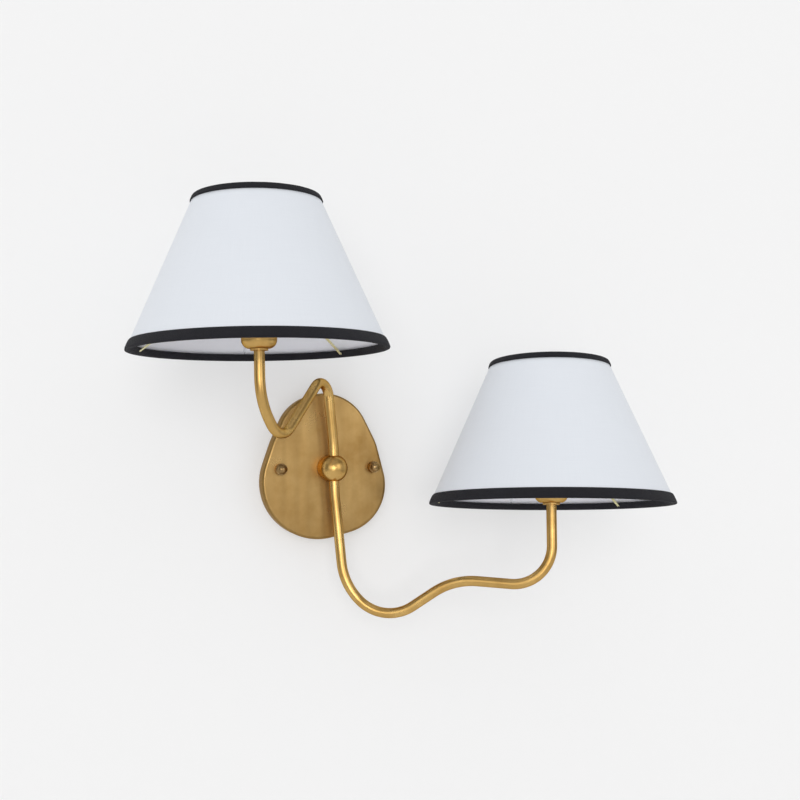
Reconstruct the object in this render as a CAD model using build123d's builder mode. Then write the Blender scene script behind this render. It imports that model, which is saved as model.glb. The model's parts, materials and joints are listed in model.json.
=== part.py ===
from build123d import *

import os
from math import acos, asin, atan2, cos, degrees, hypot, radians, sin

# A wall sconce with two wavy arms and two cone shades. Millimetres, +Z up, +X to the right of
# someone who faces the wall. The wall is the plane Y = 0 and the room is on the -Y side. The
# origin is the middle of the wall bracket, on the wall.

# ---- clearances -------------------------------------------------------------------------------
seat_gap = 0.05          # between pieces of one body that touch
slip_gap = 0.15          # radial room round a tube or screw that only passes through
running_gap = 0.08       # radial room in a turning fit
turning_gap = 0.3        # between curved faces of pieces that turn past each other

# ---- pan against the wall ----------------------------------------------------------------------
# The outline runs round four circles, each given as centre x, centre z and radius, and between
# them it follows their outer tangents. It touches the middle one on both sides.
pan_left_lobe = (-8.2, -13.7, 55.7)
pan_right_lobe = (10.9, -17.0, 47.9)
pan_middle_lobe = (-2.0, 5.6, 55.1)
pan_top_lobe = (-2.3, 28.2, 45.6)
pan_depth = 26.0
pan_wall = 1.5
pan_front_edge_radius = 2.5

# ---- bracket behind the pan ---------------------------------------------------------------------
bracket_length = 102.0
bracket_width = 18.0
bracket_thickness = 2.0
bracket_corner_radius = 4.0
bracket_wire_hole_radius = 7.0
box_screw_spacing = 69.85
box_slot_length = 12.0
box_slot_radius = 2.4
stud_spacing = 92.0
stud_radius = 2.0
stud_grip = 10.0         # stud length inside a thumb nut
stud_nut_flats = 7.0
stud_nut_height = 3.0
ground_screw_place = 21.0
ground_screw_radius = 1.9
ground_screw_flats = 7.0
ground_screw_head = 3.0
ground_washer_radius = 4.6
ground_washer_height = 0.8

# ---- thumb nuts ---------------------------------------------------------------------------------
thumb_nut_radius = 5.6
thumb_nut_foot_radius = 4.9
thumb_nut_foot = 1.2
thumb_nut_knurl_length = 7.6
thumb_nut_face_radius = 4.3
thumb_nut_face_step = 1.2
thumb_nut_dome = 3.2
knurl_count = 24
knurl_radius = 0.5

# ---- hub ----------------------------------------------------------------------------------------
hub_x = 3.0              # the hub stands this far right of the bracket's middle
hub_radius = 13.2
hub_axis_out = 46.0      # from the wall to the arms' common axis, the middle of the round front
hub_foot_radius = 11.9
hub_foot_height = 1.4
wire_room_radius = 4.2
nipple_radius = 5.0
nipple_bore_radius = 3.75
nipple_grip = 11.0       # nipple length inside the hub
nipple_tail = 9.5        # nipple length inside the pan
nipple_washer_radius = 9.5
nipple_washer_height = 1.2
nipple_nut_flats = 14.0
nipple_nut_height = 4.0

# ---- arms ---------------------------------------------------------------------------------------
tube_radius = 4.8
tube_wall = 1.0
tube_gap_in_hub = 4.5    # from the hub's middle to the end of each tube
left_shade_x = -79.0
left_shade_out = 138.0   # from the wall to the middle of the left shade's bottom edge
left_rim_z = 105.7       # bottom edge of the left shade
right_shade_x = 193.4
right_shade_out = 128.0
right_rim_z = -37.9
right_lean = 5.9         # degrees that the right lampholder and shade lean back
right_lean_heading = 61.0  # degrees from +X to where they lean, seen from above
hub_straight = 22.0      # each arm leaves the hub straight for this long

# Each arm bends in an upright plane from the hub's axis towards its shade, and its last bend turns
# it into the shade's axis. A place along the arm is given as its distance from the hub, or back
# from the shade, and its height. A riser is the length from the last bend to the shade's edge.
upper_peak_distance = 11.3
upper_peak_z = 95.4
upper_valley_setback = 31.1
upper_valley_z = 24.9
upper_riser = 44.5
upper_bend_radii = (100.0, 14.5, 21.0, 60.0)

lower_knee_distance = 7.4
lower_knee_z = -110.7
lower_trough_distance = 45.2
lower_trough_z = -150.8
lower_hump_setback = 93.9
lower_hump_z = -106.9
lower_riser = 76.4
lower_bend_radii = (150.0, 58.0, 41.0, 68.0, 36.0)

# ---- leads and splices --------------------------------------------------------------------------
lead_radius = 1.6
lead_spread = 1.75       # the two leads lie this far above and below the nipple's axis
lead_hub_bend = 6.0
lead_pan_bend = 5.0
lead_pan_out = 11.0      # from the wall to the leads inside the pan
lead_pan_rise = 30.0
connector_radius = 6.5
connector_tip_radius = 4.5
connector_length = 21.0
connector_grip = 7.0     # lead length inside a connector

# ---- socket stack, heights above the shade's bottom edge -----------------------------------------
seat_ring_radius = 8.0
seat_ring_height = 2.0
cup_radius = 15.7
cup_wall = 1.0
cup_flat_radius = 10.6
cup_bowl_height = 7.4
cup_lip_height = 9.6
tube_top = 13.0
holder_collar_radius = 7.2
holder_collar_height = 8.0
holder_body_radius = 12.8
holder_shoulder_z = 62.0
holder_shoulder_radius = 17.0
holder_shoulder_height = 2.5
holder_neck_radius = 14.0
holder_neck_height = 14.0
holder_floor_z = 42.0
holder_floor = 2.6
holder_wire_room_radius = 8.5
shell_radius = 7.1
shell_wall = 0.9
shell_setback = 1.5
contact_radius = 4.0
contact_plate = 0.8
contact_tip_radius = 2.0
contact_tip_height = 3.5
shell_start_above_contact = 0.5

# ---- shade and its spider ------------------------------------------------------------------------
shade_bottom_radius = 114.3
shade_top_radius = 55.0
shade_height = 135.6
shade_wall = 0.8
trim_wall = 0.5
bottom_trim_height = 9.6
bottom_trim_fold = 6.4
top_trim_height = 5.8
top_trim_fold = 4.8
hoop_wire_radius = 1.15
fitter_ring_radius = 20.0
fitter_ring_height = 1.6
shade_ring_radius = 18.8
shade_ring_height = 6.0
shade_ring_flange = 1.6
shade_ring_collar_radius = 16.6
spider_wire_radius = 0.7
spider_wire_spread = 0.8   # from an arm's middle line to each of its two wires
spider_arm_count = 3
left_spider_turn = 38.0    # degrees from +X to the first arm
right_spider_turn = 30.4   # degrees from +X to the first arm

# ---- values that follow ---------------------------------------------------------------------------
stud_x = stud_spacing / 2
pan_face = Plane.XZ.offset(pan_depth)
pan_floor = Plane.XZ.offset(pan_depth - pan_wall)
bracket_front = Plane.XZ.offset(bracket_thickness)
nipple_hole_radius = nipple_radius + slip_gap
tube_hole_radius = tube_radius + seat_gap
shell_hole_radius = shell_radius + shell_wall + seat_gap
holder_top_z = holder_shoulder_z + holder_neck_height
shade_slope = (shade_bottom_radius - shade_top_radius) / shade_height

os.makedirs("parts", exist_ok=True)


def keep(part, name):
    """Label a finished piece and write it to its own file."""
    part.label = name
    export_step(part, f"parts/{name}.step")


def lamp_plane(x, out, z, lean, heading):
    """Plane of a shade's bottom edge. It faces along the shade's axis, lean degrees off vertical."""
    side = sin(radians(lean))
    axis = Vector(side * cos(radians(heading)), side * sin(radians(heading)), cos(radians(lean)))
    backward = axis.cross(Vector(1, 0, 0))
    return Plane(origin=(x, -out, z), x_dir=backward.cross(axis), z_dir=axis)


def axial_section(plane):
    """Plane through a lamp plane's axis: local x is the radius and local y the height."""
    return Plane(origin=plane.origin, x_dir=plane.x_dir, z_dir=-plane.y_dir)


def wall_section(x):
    """Plane through an axis square to the wall: local x is the radius, local y the reach."""
    return Plane(origin=(x, 0, 0), x_dir=(1, 0, 0), z_dir=(0, 0, 1))


def wall_axis(x):
    """Axis square to the wall at height zero, pointing into the room."""
    return Axis((x, 0, 0), (0, -1, 0))


def tangent_angle(circle, following):
    """Degrees from +X to where the outer tangent leaves a circle for the following one."""
    across = following[0] - circle[0]
    up = following[1] - circle[1]
    return degrees(atan2(up, across) - acos((circle[2] - following[2]) / hypot(across, up)))


def pan_outline(inset):
    """The pan's outline on the wall plane, drawn in by inset."""
    lobes = (pan_left_lobe, pan_right_lobe, pan_middle_lobe, pan_top_lobe, pan_middle_lobe)
    with BuildSketch(Plane.XZ) as outline:
        with BuildLine():
            arcs = []
            for place, lobe in enumerate(lobes):
                start = tangent_angle(lobes[place - 1], lobe)
                end = tangent_angle(lobe, lobes[(place + 1) % len(lobes)])
                arcs.append(CenterArc(lobe[:2], lobe[2] - inset, start, (end - start) % 360))
            for place, arc in enumerate(arcs):
                Line(arc @ 1, arcs[(place + 1) % len(arcs)] @ 0)
        make_face()
    return outline.sketch


# ---- pan --------------------------------------------------------------------------------------------
pan_outside = pan_outline(0)
pan_inside = pan_outline(pan_wall)
with BuildPart() as backplate:
    extrude(pan_outside, amount=pan_depth)
    fillet(backplate.faces().sort_by(Axis.Y)[0].edges(), pan_front_edge_radius)
    extrude(pan_inside, amount=pan_depth - pan_wall, mode=Mode.SUBTRACT)
    fillet(
        backplate.faces().filter_by(Axis.Y).sort_by(Axis.Y)[1].outer_wire().edges(),
        pan_front_edge_radius - pan_wall,
    )
    with BuildSketch(pan_floor) as pan_holes:
        with Locations((hub_x, 0)):
            Circle(nipple_hole_radius)
        with Locations((-stud_x, 0), (stud_x, 0)):
            Circle(stud_radius + slip_gap)
    extrude(amount=pan_wall, mode=Mode.SUBTRACT)
keep(backplate.part, "backplate")

# ---- bracket, studs and their nuts --------------------------------------------------------------------
with BuildPart() as wall_bracket:
    with BuildSketch(Plane.XZ) as strap:
        RectangleRounded(bracket_length, bracket_width, bracket_corner_radius)
        Circle(bracket_wire_hole_radius, mode=Mode.SUBTRACT)
        with Locations((-box_screw_spacing / 2, 0), (box_screw_spacing / 2, 0)):
            SlotOverall(box_slot_length, 2 * box_slot_radius, mode=Mode.SUBTRACT)
        with Locations((-stud_x, 0), (stud_x, 0)):
            Circle(stud_radius + seat_gap, mode=Mode.SUBTRACT)
        with Locations((ground_screw_place, 0)):
            Circle(ground_screw_radius + seat_gap, mode=Mode.SUBTRACT)
    extrude(amount=bracket_thickness)
keep(wall_bracket.part, "wall_bracket")

stud_length = pan_depth + stud_grip
with BuildPart() as bracket_studs:
    with BuildSketch(Plane.XZ) as stud_ends:
        with Locations((-stud_x, 0), (stud_x, 0)):
            Circle(stud_radius)
    extrude(amount=stud_length)
    chamfer(bracket_studs.faces().filter_by(Axis.Y).group_by(Axis.Y)[0].edges(), stud_radius / 4)
keep(bracket_studs.part, "bracket_studs")

with BuildPart() as stud_nuts:
    with BuildSketch(bracket_front) as stud_nut_flats_sketch:
        with Locations((-stud_x, 0), (stud_x, 0)):
            RegularPolygon(stud_nut_flats / 2, 6, major_radius=False)
            Circle(stud_radius + seat_gap, mode=Mode.SUBTRACT)
    extrude(amount=stud_nut_height)
keep(stud_nuts.part, "stud_nuts")

with BuildPart() as ground_screw:
    with BuildSketch(Plane.XZ) as ground_shank:
        with Locations((ground_screw_place, 0)):
            Circle(ground_screw_radius)
    extrude(amount=bracket_thickness)
    with BuildSketch(bracket_front) as ground_washer:
        with Locations((ground_screw_place, 0)):
            Circle(ground_washer_radius)
    extrude(amount=ground_washer_height)
    with BuildSketch(bracket_front.offset(ground_washer_height)) as ground_head:
        with Locations((ground_screw_place, 0)):
            RegularPolygon(ground_screw_flats / 2, 6, major_radius=False)
    extrude(amount=ground_screw_head)
keep(ground_screw.part, "ground_screw")

# ---- thumb nuts -----------------------------------------------------------------------------------------
nut_start = pan_depth + seat_gap
nut_knurl_start = nut_start + thumb_nut_foot
nut_knurl_end = nut_knurl_start + thumb_nut_knurl_length
nut_face = nut_knurl_end + thumb_nut_face_step
nut_tip = nut_face + thumb_nut_dome
nut_dome_radius = (thumb_nut_face_radius**2 + thumb_nut_dome**2) / (2 * thumb_nut_dome)
for side, nut_x in (("left", -stud_x), ("right", stud_x)):
    with BuildPart() as thumb_nut:
        with BuildSketch(wall_section(nut_x)) as nut_section:
            with BuildLine() as nut_profile:
                Polyline(
                    (0, -nut_tip),
                    (0, -nut_start),
                    (thumb_nut_foot_radius, -nut_start),
                    (thumb_nut_foot_radius, -nut_knurl_start),
                    (thumb_nut_radius, -nut_knurl_start),
                    (thumb_nut_radius, -nut_knurl_end),
                    (thumb_nut_face_radius, -nut_face),
                )
                CenterArc(
                    (0, nut_dome_radius - nut_tip),
                    nut_dome_radius,
                    -90,
                    degrees(acos(1 - thumb_nut_dome / nut_dome_radius)),
                )
            make_face()
        revolve(axis=wall_axis(nut_x))
        with BuildSketch(Plane.XZ.offset(nut_knurl_start)) as knurl_grooves:
            with Locations((nut_x, 0)):
                with PolarLocations(thumb_nut_radius, knurl_count):
                    Circle(knurl_radius)
        extrude(amount=nut_knurl_end - nut_knurl_start, mode=Mode.SUBTRACT)
        with BuildSketch(Plane.XZ.offset(nut_start)) as nut_bore:
            with Locations((nut_x, 0)):
                Circle(stud_radius + running_gap)
        extrude(amount=stud_grip + turning_gap, mode=Mode.SUBTRACT)
    keep(thumb_nut.part, f"{side}_thumb_nut")

# ---- hub and what clamps it to the pan --------------------------------------------------------------------
with BuildPart() as hub:
    with BuildSketch(wall_section(hub_x)) as hub_section:
        with BuildLine() as hub_profile:
            Polyline(
                (0, -(hub_axis_out + hub_radius)),
                (0, -pan_depth),
                (hub_foot_radius, -pan_depth),
                (hub_radius, -(pan_depth + hub_foot_height)),
                (hub_radius, -hub_axis_out),
            )
            CenterArc((0, -hub_axis_out), hub_radius, -90, 90)
        make_face()
    revolve(axis=wall_axis(hub_x))
    with BuildSketch(pan_face) as nipple_seat:
        with Locations((hub_x, 0)):
            Circle(nipple_radius + seat_gap)
    extrude(amount=nipple_grip + seat_gap, mode=Mode.SUBTRACT)
    with BuildSketch(pan_face) as wire_room:
        with Locations((hub_x, 0)):
            Circle(wire_room_radius)
    extrude(amount=hub_axis_out - pan_depth, mode=Mode.SUBTRACT)
    with BuildSketch(Plane.XY.offset(-hub_radius)) as tube_bore:
        with Locations((hub_x, -hub_axis_out)):
            Circle(tube_hole_radius)
    extrude(amount=2 * hub_radius, mode=Mode.SUBTRACT)
keep(hub.part, "hub")

with BuildPart() as hub_nipple:
    with BuildSketch(pan_face.offset(-pan_wall - nipple_tail)) as nipple_section:
        with Locations((hub_x, 0)):
            Circle(nipple_radius)
            Circle(nipple_bore_radius, mode=Mode.SUBTRACT)
    extrude(amount=nipple_tail + pan_wall + nipple_grip)
keep(hub_nipple.part, "hub_nipple")

with BuildPart() as nipple_washer:
    with BuildSketch(pan_floor) as nipple_washer_ring:
        with Locations((hub_x, 0)):
            Circle(nipple_washer_radius)
            Circle(nipple_hole_radius, mode=Mode.SUBTRACT)
    extrude(amount=-nipple_washer_height)
keep(nipple_washer.part, "nipple_washer")

with BuildPart() as nipple_nut:
    with BuildSketch(pan_floor.offset(-nipple_washer_height)) as nipple_nut_flats_sketch:
        with Locations((hub_x, 0)):
            RegularPolygon(nipple_nut_flats / 2, 6, major_radius=False)
            Circle(nipple_radius + seat_gap, mode=Mode.SUBTRACT)
    extrude(amount=-nipple_nut_height)
keep(nipple_nut.part, "nipple_nut")

# ---- arms and the leads inside them --------------------------------------------------------------------------
left_lamp = lamp_plane(left_shade_x, left_shade_out, left_rim_z, 0, 0)
right_lamp = lamp_plane(right_shade_x, right_shade_out, right_rim_z, right_lean, right_lean_heading)
upper_reach = hypot(left_shade_x - hub_x, left_shade_out - hub_axis_out)
lower_reach = hypot(right_shade_x - hub_x, right_shade_out - hub_axis_out)

upper_corners = (
    (0, hub_straight),
    (upper_peak_distance, upper_peak_z),
    (upper_reach - upper_valley_setback, upper_valley_z),
)
lower_corners = (
    (0, -hub_straight),
    (lower_knee_distance, lower_knee_z),
    (lower_trough_distance, lower_trough_z),
    (lower_reach - lower_hump_setback, lower_hump_z),
)


def arm_point(lamp, distance, height):
    """Point of an arm's upright plane, distance out from the hub's axis."""
    across = lamp.origin.X - hub_x
    out = lamp.origin.Y + hub_axis_out
    reach = hypot(across, out)
    return (
        hub_x + across * distance / reach,
        -hub_axis_out + out * distance / reach,
        height,
    )


def on_axis(lamp, height):
    """Point of a lamp's axis at a height above its shade's bottom edge."""
    return lamp.origin + lamp.z_dir * height


arms = (
    ("upper", 1, left_lamp, upper_corners, upper_riser, upper_bend_radii),
    ("lower", -1, right_lamp, lower_corners, lower_riser, lower_bend_radii),
)
for name, up, lamp, corners, riser, radii in arms:
    bends = [arm_point(lamp, distance, height) for distance, height in corners]
    bends.append(on_axis(lamp, -riser))
    with BuildPart() as arm:
        with BuildLine() as arm_path:
            FilletPolyline(
                arm_point(lamp, 0, up * tube_gap_in_hub),
                *bends,
                on_axis(lamp, tube_top),
                radius=radii,
            )
        with BuildSketch(Plane(arm_path.line @ 0, z_dir=arm_path.line % 0)) as tube_section:
            Circle(tube_radius)
            Circle(tube_radius - tube_wall, mode=Mode.SUBTRACT)
        sweep(path=arm_path.line)
    keep(arm.part, f"{name}_arm")

    lead_z = up * lead_spread
    with BuildPart() as lead:
        with BuildLine() as lead_path:
            FilletPolyline(
                (hub_x, -lead_pan_out, up * lead_pan_rise),
                (hub_x, -lead_pan_out, lead_z),
                (hub_x, -hub_axis_out, lead_z),
                *bends,
                on_axis(lamp, holder_floor_z - holder_floor),
                radius=(lead_pan_bend, lead_hub_bend, *radii),
            )
        with BuildSketch(Plane(lead_path.line @ 0, z_dir=lead_path.line % 0)) as lead_section:
            Circle(lead_radius)
        sweep(path=lead_path.line)
    keep(lead.part, f"{name}_lead")

with BuildPart() as wire_connectors:
    for up in (1, -1):
        mouth = up * (lead_pan_rise - connector_grip)
        with BuildSketch(Plane.XY.offset(mouth)) as connector_mouth:
            with Locations((hub_x, -lead_pan_out)):
                Circle(connector_radius)
        with BuildSketch(Plane.XY.offset(mouth + up * connector_length)) as connector_tip:
            with Locations((hub_x, -lead_pan_out)):
                Circle(connector_tip_radius)
        loft(sections=[connector_mouth.sketch, connector_tip.sketch])
        with BuildSketch(Plane.XY.offset(mouth)) as connector_bore:
            with Locations((hub_x, -lead_pan_out)):
                Circle(lead_radius + seat_gap)
        extrude(amount=up * (connector_grip + seat_gap), mode=Mode.SUBTRACT)
keep(wire_connectors.part, "wire_connectors")

# ---- lampholders and shades ------------------------------------------------------------------------------------
seat_z = 0.0
cup_z = seat_z + seat_ring_height
holder_z = cup_z + cup_wall + seat_gap
cup_top_z = cup_z + cup_bowl_height + cup_lip_height
holder_wire_room_z = tube_top + holder_wire_room_radius - tube_hole_radius
shell_start_z = holder_floor_z + contact_plate + contact_tip_height + shell_start_above_contact
fitter_z = holder_shoulder_z + seat_gap
ring_z = fitter_z + fitter_ring_height + seat_gap
hoop_half_room = (hoop_wire_radius + seat_gap) * hypot(1, shade_slope)
hoop_inset = shade_wall + hoop_half_room
fold_inset = hoop_inset + hoop_half_room


def cone_radius(height, outward):
    """Radius of the shade cloth's outside at a height, moved outward by a wall."""
    return shade_bottom_radius - trim_wall - shade_slope * height + outward


cup_bend = (cup_radius - cup_flat_radius) / 2 + cup_bowl_height**2 / (cup_radius - cup_flat_radius) / 2


def bowl_arc(wall):
    """Side of the socket cup, drawn in by wall: an arc from its straight lip down to its flat."""
    radius = cup_bend - wall
    sweep_angle = degrees(asin((cup_bowl_height - wall) / radius))
    return CenterArc((cup_radius - cup_bend, cup_z + cup_bowl_height), radius, 0, -sweep_angle)


lamps = (("left", left_lamp, left_spider_turn), ("right", right_lamp, right_spider_turn))
for side, level, spider_turn in lamps:
    section = axial_section(level)
    upright = Axis(level.origin, level.z_dir)

    with BuildPart() as seat_ring:
        with BuildSketch(level.offset(seat_z)) as seat_disc:
            Circle(seat_ring_radius)
            Circle(tube_radius + slip_gap, mode=Mode.SUBTRACT)
        extrude(amount=seat_ring_height)
        fillet(seat_ring.edges().filter_by(GeomType.CIRCLE).group_by(SortBy.RADIUS)[-1], seat_ring_height / 4)
    keep(seat_ring.part, f"{side}_seat_ring")

    with BuildPart() as socket_cup:
        with BuildSketch(section) as cup_section:
            with BuildLine():
                outer_side = bowl_arc(0)
                inner_side = bowl_arc(cup_wall)
                Polyline(
                    outer_side @ 1,
                    (tube_radius + slip_gap, cup_z),
                    (tube_radius + slip_gap, cup_z + cup_wall),
                    inner_side @ 1,
                )
                Polyline(
                    outer_side @ 0,
                    (cup_radius, cup_top_z),
                    (cup_radius - cup_wall, cup_top_z),
                    inner_side @ 0,
                )
            make_face()
        revolve(axis=upright)
    keep(socket_cup.part, f"{side}_socket_cup")

    with BuildPart() as lampholder:
        with BuildSketch(section) as holder_section:
            with BuildLine():
                Polyline(
                    (tube_hole_radius, holder_z),
                    (holder_collar_radius, holder_z),
                    (holder_collar_radius, holder_z + holder_collar_height),
                    (holder_body_radius, holder_z + holder_collar_height + holder_body_radius - holder_collar_radius),
                    (holder_body_radius, holder_shoulder_z - holder_shoulder_height),
                    (holder_shoulder_radius, holder_shoulder_z - holder_shoulder_height),
                    (holder_shoulder_radius, holder_shoulder_z),
                    (holder_neck_radius, holder_shoulder_z),
                    (holder_neck_radius, holder_top_z),
                    (shell_hole_radius, holder_top_z),
                    (shell_hole_radius, holder_floor_z),
                    (0, holder_floor_z),
                    (0, holder_floor_z - holder_floor),
                    (holder_wire_room_radius, holder_floor_z - holder_floor),
                    (holder_wire_room_radius, holder_wire_room_z),
                    (tube_hole_radius, tube_top),
                    close=True,
                )
            make_face()
        revolve(axis=upright)
    keep(lampholder.part, f"{side}_lampholder")

    with BuildPart() as screw_shell:
        with BuildSketch(level.offset(shell_start_z)) as shell_wall_sketch:
            Circle(shell_radius + shell_wall)
            Circle(shell_radius, mode=Mode.SUBTRACT)
        extrude(amount=holder_top_z - shell_setback - shell_start_z)
    keep(screw_shell.part, f"{side}_screw_shell")

    with BuildPart() as centre_contact:
        with BuildSketch(level.offset(holder_floor_z)) as contact_disc:
            Circle(contact_radius)
        extrude(amount=contact_plate)
        with BuildSketch(level.offset(holder_floor_z + contact_plate)) as contact_tip:
            Circle(contact_tip_radius)
        extrude(amount=contact_tip_height)
        fillet(centre_contact.edges().filter_by(GeomType.CIRCLE).group_by(Axis.Z)[-1], contact_tip_radius / 2)
    keep(centre_contact.part, f"{side}_centre_contact")

    with BuildPart() as fitter_ring:
        with BuildSketch(level.offset(fitter_z)) as fitter_disc:
            Circle(fitter_ring_radius)
            Circle(holder_neck_radius + turning_gap, mode=Mode.SUBTRACT)
        extrude(amount=fitter_ring_height)
    keep(fitter_ring.part, f"{side}_fitter_ring")

    with BuildPart() as shade_ring:
        with BuildSketch(level.offset(ring_z)) as ring_flange:
            Circle(shade_ring_radius)
            Circle(holder_neck_radius + running_gap, mode=Mode.SUBTRACT)
        extrude(amount=shade_ring_flange)
        with BuildSketch(level.offset(ring_z + shade_ring_flange)) as ring_collar:
            Circle(shade_ring_collar_radius)
            Circle(holder_neck_radius + running_gap, mode=Mode.SUBTRACT)
        extrude(amount=shade_ring_height - shade_ring_flange)
        with BuildSketch(level.offset(ring_z + shade_ring_flange)) as ring_grooves:
            with PolarLocations(shade_ring_collar_radius, knurl_count):
                Circle(knurl_radius)
        extrude(amount=shade_ring_height - shade_ring_flange, mode=Mode.SUBTRACT)
    keep(shade_ring.part, f"{side}_shade_ring")

    # The two hoops lie inside the cone's edges, and the spider's wires end on the lower one.
    bottom_hoop_z = trim_wall + hoop_wire_radius + seat_gap
    top_hoop_z = shade_height - bottom_hoop_z
    bottom_hoop_radius = cone_radius(bottom_hoop_z, -hoop_inset)
    top_hoop_radius = cone_radius(top_hoop_z, -hoop_inset)
    hoops = (
        ("bottom_wire", bottom_hoop_radius, bottom_hoop_z),
        ("top_wire", top_hoop_radius, top_hoop_z),
    )
    for hoop_name, hoop_radius, hoop_z in hoops:
        with BuildPart() as hoop:
            with BuildSketch(section) as hoop_section:
                with Locations((hoop_radius, hoop_z)):
                    Circle(hoop_wire_radius)
            revolve(axis=upright)
        keep(hoop.part, f"{side}_{hoop_name}")

    spider_start = (fitter_ring_radius + spider_wire_radius / 2, fitter_z + fitter_ring_height / 2)
    spider_run = (bottom_hoop_radius - spider_start[0], bottom_hoop_z - spider_start[1])
    spider_length = hypot(*spider_run) - hoop_wire_radius - seat_gap

    spider_wires = []
    for arm_index in range(spider_arm_count):
        turn = radians(spider_turn + arm_index * 360 / spider_arm_count)
        outward = level.x_dir * cos(turn) + level.y_dir * sin(turn)
        sideways = level.y_dir * cos(turn) - level.x_dir * sin(turn)
        for spread in (-spider_wire_spread, spider_wire_spread):
            start = on_axis(level, spider_start[1]) + outward * spider_start[0] + sideways * spread
            heading = outward * spider_run[0] + level.z_dir * spider_run[1]
            spider_wires.append(Plane(origin=start, x_dir=sideways, z_dir=heading))

    with BuildPart() as spider_arms:
        for wire_plane in spider_wires:
            with BuildSketch(wire_plane) as spider_wire:
                Circle(spider_wire_radius)
            extrude(amount=spider_length)
    keep(spider_arms.part, f"{side}_spider_arms")

    with BuildPart() as shade_cone:
        with BuildSketch(section) as cone_section:
            with BuildLine():
                Polyline(
                    (cone_radius(trim_wall, 0), trim_wall),
                    (cone_radius(shade_height - trim_wall, 0), shade_height - trim_wall),
                    (cone_radius(shade_height - trim_wall, -shade_wall), shade_height - trim_wall),
                    (cone_radius(trim_wall, -shade_wall), trim_wall),
                    close=True,
                )
            make_face()
        revolve(axis=upright)
    keep(shade_cone.part, f"{side}_shade_cone")

    # A binding is a channel round an edge: band outside, wall across the edge, fold inside.
    bindings = (
        ("bottom_trim", 0.0, trim_wall, bottom_trim_height, bottom_trim_fold),
        (
            "top_trim",
            shade_height,
            shade_height - trim_wall,
            shade_height - top_trim_height,
            shade_height - top_trim_fold,
        ),
    )
    for trim_name, edge_z, inner_edge_z, band_z, fold_z in bindings:
        with BuildPart() as binding:
            with BuildSketch(section) as binding_section:
                with BuildLine():
                    Polyline(
                        (cone_radius(edge_z, trim_wall), edge_z),
                        (cone_radius(band_z, trim_wall), band_z),
                        (cone_radius(band_z, 0), band_z),
                        (cone_radius(inner_edge_z, 0), inner_edge_z),
                        (cone_radius(inner_edge_z, -fold_inset), inner_edge_z),
                        (cone_radius(fold_z, -fold_inset), fold_z),
                        (cone_radius(fold_z, -fold_inset - trim_wall), fold_z),
                        (cone_radius(edge_z, -fold_inset - trim_wall), edge_z),
                        close=True,
                    )
                make_face()
            revolve(axis=upright)
            if trim_name == "bottom_trim":
                for wire_plane in spider_wires:
                    with BuildSketch(wire_plane) as spider_notch:
                        Circle(spider_wire_radius + slip_gap)
                    extrude(amount=spider_length, mode=Mode.SUBTRACT)
        keep(binding.part, f"{side}_{trim_name}")
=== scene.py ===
"""Finishes, cloth, light and camera for a double arm wall sconce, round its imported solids."""

import json
import logging
import math
from dataclasses import dataclass, field
from enum import Enum
from typing import Any, Iterable, Sequence

import bpy
from mathutils import Matrix, Vector

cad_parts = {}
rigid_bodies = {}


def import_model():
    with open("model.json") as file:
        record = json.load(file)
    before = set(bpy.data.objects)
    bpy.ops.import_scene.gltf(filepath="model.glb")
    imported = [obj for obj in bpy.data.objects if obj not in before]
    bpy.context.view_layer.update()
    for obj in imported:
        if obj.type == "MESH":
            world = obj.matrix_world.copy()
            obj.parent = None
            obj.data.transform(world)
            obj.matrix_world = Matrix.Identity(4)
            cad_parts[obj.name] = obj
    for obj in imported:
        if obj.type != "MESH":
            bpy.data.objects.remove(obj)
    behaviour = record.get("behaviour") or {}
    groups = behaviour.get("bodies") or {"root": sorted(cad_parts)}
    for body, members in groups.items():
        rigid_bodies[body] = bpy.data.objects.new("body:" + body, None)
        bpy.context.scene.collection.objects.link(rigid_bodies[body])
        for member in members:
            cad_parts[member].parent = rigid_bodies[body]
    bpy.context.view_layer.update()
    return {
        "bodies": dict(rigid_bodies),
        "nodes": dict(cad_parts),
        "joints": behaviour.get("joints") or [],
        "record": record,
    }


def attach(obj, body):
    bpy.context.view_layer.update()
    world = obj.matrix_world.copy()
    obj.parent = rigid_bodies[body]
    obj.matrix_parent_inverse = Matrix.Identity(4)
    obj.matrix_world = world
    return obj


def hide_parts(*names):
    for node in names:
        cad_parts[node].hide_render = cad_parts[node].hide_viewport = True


LOG = logging.getLogger("sconce")

Colour = tuple[float, float, float]
Triple = tuple[float, float, float]
Pair = tuple[float, float]
Socket = bpy.types.NodeSocket
Nodes = dict[str, bpy.types.Object]

MM = 0.001
NEAR = 0.1 * MM  # points whose heights differ by less count as level
PHOTO_SIDE = 800

WHITE: Colour = (1.0, 1.0, 1.0)
BLACK: Colour = (0.0, 0.0, 0.0)
WHOLE: Pair = (0.0, 1.0)
MOST_NOISE: Pair = (0.3, 0.7)  # where most values of a noise lie
NOISE_MIDDLE = 0.5
MIX_FIRST, MIX_SECOND, MIX_RESULT = 6, 7, 2  # the colour sockets of a Mix node

GRID_HALF = 0.5  # a grid of 1 m runs this far each way
LAP_FLAT = 0.8  # share of a seam's lap that lies flat before it thins out
LEAST_LAP = 1e-4  # share of the turn, so that a piece without a seam divides by no zero
WALL_ANGLE = math.pi / 2  # from +X to the wall, seen from above
RIPPLE_DETAIL = 2.0  # octaves
WELD = 1e-6  # joins the two ends of a turn
THREAD_STEPS = 48  # in a turn
RIDGE_SIDES = 8


class Side(Enum):
    """The two ends of the sconce, as someone who faces the wall sees them."""

    LEFT = "left"
    RIGHT = "right"


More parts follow.
